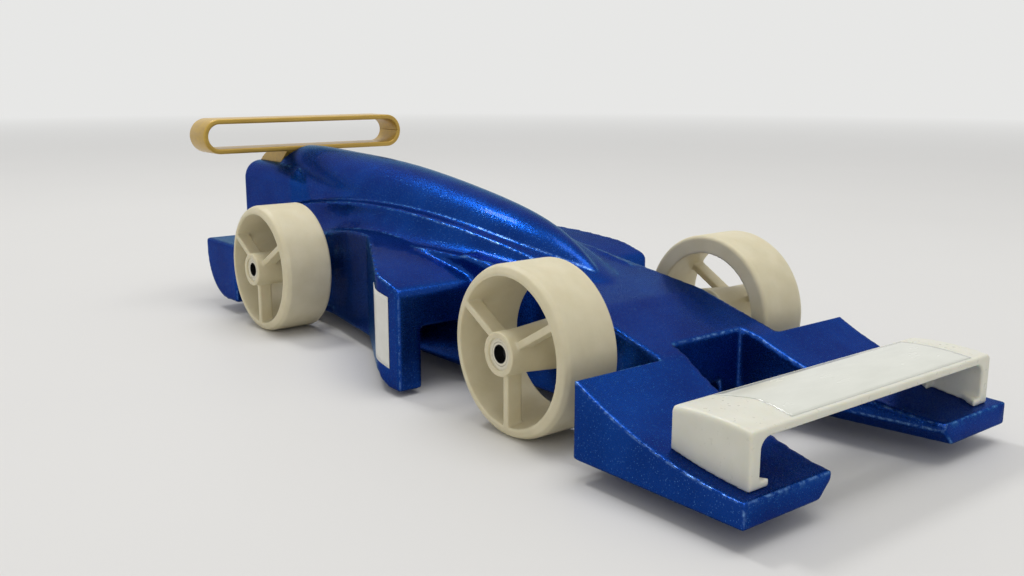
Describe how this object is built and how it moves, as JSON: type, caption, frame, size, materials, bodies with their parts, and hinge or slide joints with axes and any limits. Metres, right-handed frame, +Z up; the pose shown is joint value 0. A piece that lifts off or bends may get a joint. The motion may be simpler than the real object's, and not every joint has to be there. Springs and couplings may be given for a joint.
{
  "type": "model open wheel racing car",
  "caption": "Hand-size model racing car with open spoked wheels, a bridge front wing, a loop rear wing and a chamber in the tail for a gas cartridge.",
  "frame": {"origin": "on the ground under the middle of the whole car", "axes": "+X to the nose, +Y to the left side, +Z up"},
  "size_m": [0.1916, 0.0656, 0.0474],
  "materials": {
    "blue_paint": "gloss metallic paint with fine flakes",
    "white_resin": "satin, slightly see-through resin",
    "gold_paint": "satin gold paint",
    "white_nylon": "printed nylon, matt",
    "carbon_rod": "satin black",
    "black_nylon": "matt black",
    "bearing_ceramic": "polished cream ceramic",
    "steel_wire": "bright steel",
    "brass": "turned brass"
  },
  "bodies": {
    "chassis": {"body_shell": "blue_paint", "front_wing": "white_resin", "rear_wing_loop": "gold_paint", "rear_wing_saddle": "gold_paint", "front_axle": "carbon_rod", "front_inner_rings": "bearing_ceramic", "front_axle_spacers": "black_nylon", "front_left_bush": "brass", "front_right_bush": "brass", "rear_axle": "carbon_rod", "rear_inner_rings": "bearing_ceramic", "rear_axle_spacers": "black_nylon", "rear_left_bush": "brass", "rear_right_bush": "brass", "front_tether_guide": "steel_wire", "rear_tether_guide": "steel_wire"},
    "front_left_roller": {"front_left_wheel": "white_nylon", "front_left_outer_rings": "bearing_ceramic"},
    "front_right_roller": {"front_right_wheel": "white_nylon", "front_right_outer_rings": "bearing_ceramic"},
    "rear_left_roller": {"rear_left_wheel": "white_nylon", "rear_left_outer_rings": "bearing_ceramic"},
    "rear_right_roller": {"rear_right_wheel": "white_nylon", "rear_right_outer_rings": "bearing_ceramic"}
  },
  "joints": [
    {"name": "front_left_wheel_spin", "type": "hinge", "parent": "chassis", "child": "front_left_roller", "pos_m": [0.04415, 0.0298, 0.0145], "axis": [0, 1, 0], "continuous": true},
    {"name": "front_right_wheel_spin", "type": "hinge", "parent": "chassis", "child": "front_right_roller", "pos_m": [0.04415, -0.0298, 0.0145], "axis": [0, 1, 0], "continuous": true},
    {"name": "rear_left_wheel_spin", "type": "hinge", "parent": "chassis", "child": "rear_left_roller", "pos_m": [-0.04835, 0.0298, 0.0145], "axis": [0, 1, 0], "continuous": true},
    {"name": "rear_right_wheel_spin", "type": "hinge", "parent": "chassis", "child": "rear_right_roller", "pos_m": [-0.04835, -0.0298, 0.0145], "axis": [0, 1, 0], "continuous": true}
  ]
}
